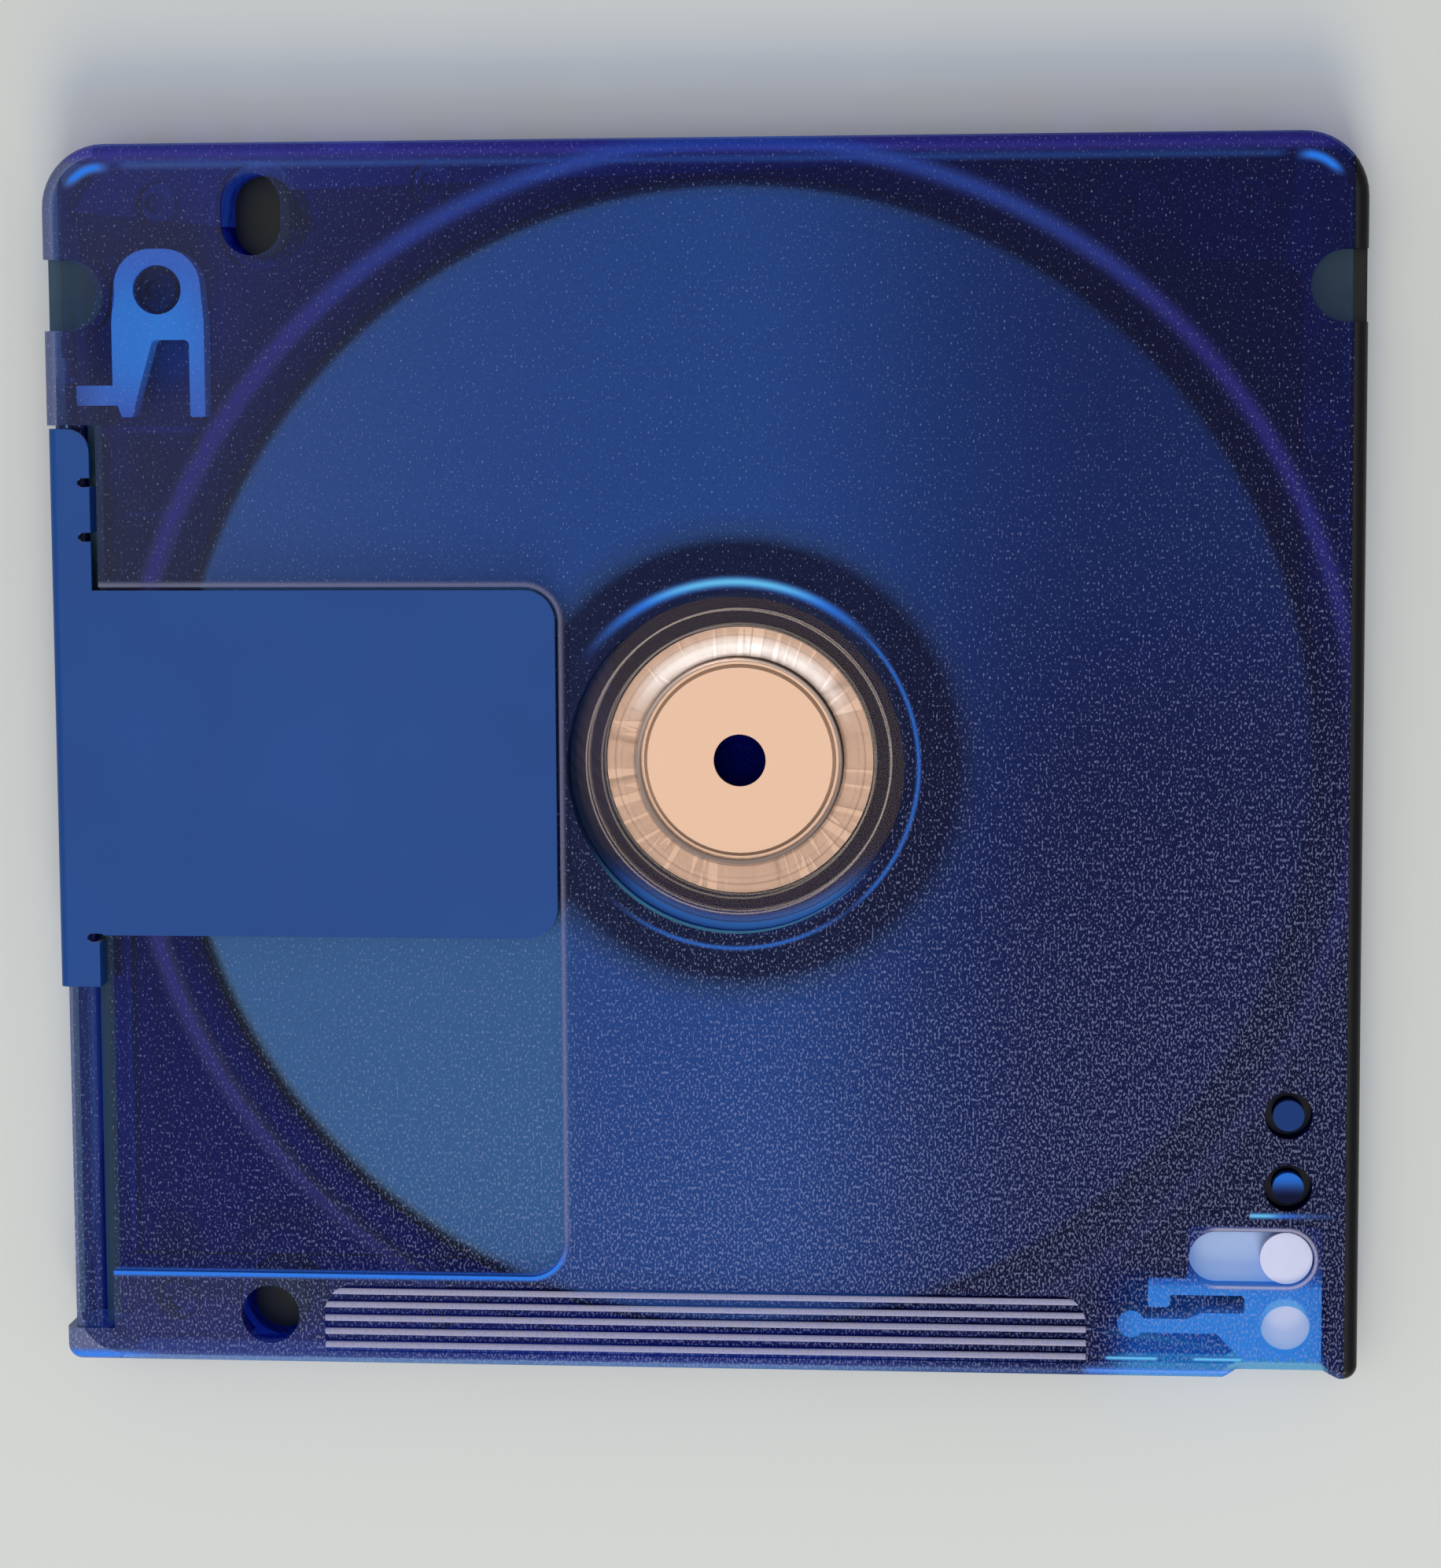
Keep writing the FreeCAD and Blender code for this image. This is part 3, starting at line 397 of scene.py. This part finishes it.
def hub_half_marks(tree, flat, place, level, radius):
    """Painted glow and highlights on the hub side's edges round its opening and channel, its windows, code
    rings and grip, and painted shade on its notches and grooves.
    """
    x, y, z = place
    in_face = maths(tree, "GREATER_THAN", z, HUB_FACE_MM)
    # masks for painted shade on the notch floors and, near black, on the groove floors
    sunk = product(tree, maths(tree, "COMPARE", z, NOTCH_FLOOR_MM, 0.03), level)
    groove = product(tree, maths(tree, "COMPARE", z, GROOVE_FLOOR_MM, 0.03), level)

    # the opening: a painted glow on its rear wall and on a short arc in front of it, with a thin painted line
    # of glow beside
    hub_arc = product(tree, band(tree, radius, HUB_RIB_MM, 0.5), ramp(tree, y, 5.0, 9.8))
    side_arc = product(tree, band(tree, radius, HUB_RIB_MM, 0.22),
                       most(tree, ramp(tree, x, 7.0, 10.0), ramp(tree, y, -6.5, -10.0)), 0.7)
    hub_wall = product(tree, maths(tree, "SUBTRACT", 1.0, level),
                       maths(tree, "LESS_THAN", radius, HUB_OPENING_MM + 0.1), ramp(tree, y, -3.0, -7.5))

    # the edge of the shutter's channel: a painted glow where it is lit through from the rear, and a painted
    # white highlight along the front
    to_channel = from_corner(tree, flat, CHANNEL_MIDDLE_MM, CHANNEL_HALF_MM, CHANNEL_CORNER_MM)
    rim = product(tree, band(tree, to_channel, CHANNEL_CORNER_MM + 0.1, 0.3), in_face,
                  maths(tree, "GREATER_THAN", x, -33.4))
    rear_rim = product(tree, rim, ramp(tree, y, -26.0, -28.2))
    # painted highlight on the right part of the slider window's rim
    to_window = from_corner(tree, flat, WINDOW_MIDDLE_MM, WINDOW_HALF_MM, WINDOW_HALF_MM[1] - 0.01)
    window_rim = product(tree, band(tree, to_window, WINDOW_HALF_MM[1] + 0.1, 0.2), ramp(tree, x, 27.2, 28.4),
                         in_face, 0.9)
    # painted highlight on the tops of the grip's ribs
    to_grip = from_corner(tree, flat, GRIP_MIDDLE_MM, GRIP_HALF_MM, GRIP_CORNER_MM)
    rib_tops = product(tree, maths(tree, "LESS_THAN", to_grip, GRIP_CORNER_MM), level,
                       maths(tree, "GREATER_THAN", y, GRIP_REAR_MM),
                       maths(tree, "GREATER_THAN", z, GRIP_TOP_MM), 0.85)
    # painted highlight along the rear edge
    rear_line = product(tree, maths(tree, "LESS_THAN", y, REAR_EDGE_MM), in_face, 0.75)

    # painted glow: short bright strips where the guide rib, the rear wall and its ledge end light
    guide_strip = product(tree, band(tree, y, GUIDE_END_MM, 0.28), ramp(tree, x, 34.6, 30.6, 0.25, 1.0),
                          maths(tree, "GREATER_THAN", x, 30.1), maths(tree, "LESS_THAN", x, 34.6))
    strips = most(tree, band(tree, x, 23.7, 1.8), band(tree, x, 28.4, 1.7))
    rear_strip = product(tree, band(tree, y, REAR_WALL_MM, 0.2), ramp(tree, strips, 0.0, 0.2))
    ledge = product(tree, band(tree, y, LEDGE_MM, 0.45), ramp(tree, x, 30.0, 29.2),
                    most(tree, ramp(tree, x, 20.8, 21.4, 0.2, 0.8), ramp(tree, x, -28.0, -34.0, 0.0, 0.9)))
    strip = product(tree, most(tree, guide_strip, rear_strip, ledge), in_face)

    # painted light on the code rings' islands, the rear one on its far half
    to_code = maths(tree, "MINIMUM", *[span(tree, flat, middle) for middle in CODE_RINGS_MM])
    island = product(tree, maths(tree, "LESS_THAN", to_code, CODE_ISLAND_MM), in_face)
    facing = ramp(tree, y, CODE_RINGS_MM[1][1] - 0.5, CODE_RINGS_MM[1][1] + 0.6)
    lit_island = product(tree, island, most(tree, maths(tree, "LESS_THAN", y, -21.0), 0.4), facing, 0.8)
    glow = most(tree, hub_arc, side_arc, hub_wall, rear_rim, strip, lit_island)
    glow_core = most(tree, hub_wall, product(tree, rear_strip, in_face),
                product(tree, hub_arc, ramp(tree, y, 8.5, 10.3)),
                product(tree, guide_strip, ramp(tree, x, 32.0, 31.0)))
    front_rim = product(tree, rim, ramp(tree, y, -28.2, -26.0, 0.0, 0.45))
    pale = most(tree, front_rim, window_rim, rear_line, rib_tops)
    return {"seen": most(tree, sunk, groove), "glow": glow, "glow_core": glow_core, "sunk": sunk, "painted_shade": groove,
            "pale": pale, "bare": most(tree, sunk, groove, island)}


finish_node("hub_side_shell", shell_plastic(
    "moulded_blue_polycarbonate_hub_half", 0.82, "#BCD8F8", "#E8FAFF", "#B3CEED", 4.5, hub_half_marks))

# Shutter, snapped over the left edge so that its tabs run in the guide grooves.
# One folded sheet of thin metal with a satin blue enamel; at the cut edges the enamel is thin,
# and on those facing front and rear the metal's glint is painted in as a pale highlight.
ENAMEL_BLUE = "#17468C"
ENAMEL_EDGE_GLINT = "#AEBBE0"


def enamel(name):
    """Satin blue with a slow change of tone and a fine peel, with a painted glint where the cut edges facing
    front and rear show the metal.
    """
    material, tree, output = new_material(name)
    mm = in_mm(tree)
    along = split(tree, add(tree, "ShaderNodeNewGeometry").outputs["True Normal"])["Y"]
    edge = add(tree, "ShaderNodeMapRange", {"Value": maths(tree, "ABSOLUTE", along), "From Min": 0.3,
                                            "From Max": 0.8, "To Min": 0.0, "To Max": 0.85})
    cloud = add(tree, "ShaderNodeTexNoise", {"Vector": mm, "Scale": 0.12, "Detail": 2.0})
    shade = add(tree, "ShaderNodeMapRange", {"Value": cloud.outputs[0], "To Min": 0.88, "To Max": 1.12})
    blue = add(tree, "ShaderNodeMix", {0: 1.0, 6: linear(ENAMEL_BLUE), 7: shade.outputs[0]},
               data_type="RGBA", blend_type="MULTIPLY")
    edge_glint = blend(tree, edge.outputs[0], blue.outputs[2], linear(ENAMEL_EDGE_GLINT))
    peel = add(tree, "ShaderNodeTexNoise", {"Vector": mm, "Scale": 3.0, "Detail": 2.0})
    bump = add(tree, "ShaderNodeBump", {"Strength": 0.12, "Distance": 0.00002, "Height": peel.outputs[0]})
    paint = add(tree, "ShaderNodeBsdfPrincipled", {"Base Color": edge_glint, "Roughness": 0.36,
                                                   "Specular IOR Level": 0.2, "Normal": bump.outputs[0]})
    tree.links.new(paint.outputs[0], output.inputs["Surface"])
    return material


finish_node("shutter", enamel("satin_blue_enamel_on_sheet_metal"))

# Table, light and camera: a plain pale surface, a soft light from beyond the cartridge's rear
# edge, a wider and weaker one almost straight above, and a camera high enough to see the hub
# side as the reference view does.
FLOOR_PALE = "#D9DAD6"
FLOOR_SIDE = 1.6
WORLD_TONE = (0.95, 0.97, 1.0, 1.0)
WORLD_LEVEL = 0.42

floor_form = bmesh.new()
bmesh.ops.create_grid(floor_form, x_segments=1, y_segments=1, size=FLOOR_SIDE / 2)
floor_mesh = bpy.data.meshes.new("table")
floor_form.to_mesh(floor_mesh)
floor_form.free()
table_top = bpy.data.objects.new("table", floor_mesh)
bpy.context.scene.collection.objects.link(table_top)
floor_material, floor_tree, floor_out = new_material("pale_matt_table")
floor_shader = add(floor_tree, "ShaderNodeBsdfPrincipled", {
    "Base Color": linear(FLOOR_PALE), "Roughness": 0.85})
floor_tree.links.new(floor_shader.outputs[0], floor_out.inputs["Surface"])
floor_mesh.materials.append(floor_material)

world = bpy.data.worlds.new("studio")
world.use_nodes = True
sky = world.node_tree.nodes["Background"]
sky.inputs["Color"].default_value = WORLD_TONE
sky.inputs["Strength"].default_value = WORLD_LEVEL
bpy.context.scene.world = world


def soft_light(name, place, size, power):
    """A square lamp at place, turned to the middle of the cartridge."""
    lamp = bpy.data.lights.new(name, "AREA")
    lamp.size = size
    lamp.energy = power
    holder = bpy.data.objects.new(name, lamp)
    holder.location = place
    holder.rotation_euler = (-Vector(place)).to_track_quat("-Z", "Y").to_euler()
    bpy.context.scene.collection.objects.link(holder)


soft_light("rear_softbox", (0.05, -0.55, 0.42), 0.30, 2.6)
soft_light("overhead_softbox", (-0.08, -0.02, 0.60), 0.50, 0.85)

CAMERA_PLACE_MM = (20.84, 21.56, 217.82)
CAMERA_AIM_MM = (1.21, -0.99, 5.0)
CAMERA_ROLL_DEG = -0.356
CAMERA_LENS_MM = 90.3

camera_data = bpy.data.cameras.new("camera")
camera_data.lens = CAMERA_LENS_MM
camera_data.sensor_width = 36.0
camera_data.clip_start = 0.01
camera = bpy.data.objects.new("camera", camera_data)
camera.location = Vector(CAMERA_PLACE_MM) / 1000
back = (Vector(CAMERA_PLACE_MM) - Vector(CAMERA_AIM_MM)).normalized()
right = Vector((0, 1, 0)).cross(back).normalized()
level_view = Matrix((right, back.cross(right), back)).transposed()
rolled = level_view @ Matrix.Rotation(math.radians(CAMERA_ROLL_DEG), 3, "Z")
camera.rotation_euler = rolled.to_euler()
bpy.context.scene.collection.objects.link(camera)
bpy.context.scene.camera = camera
bpy.context.scene.view_settings.view_transform = "Standard"
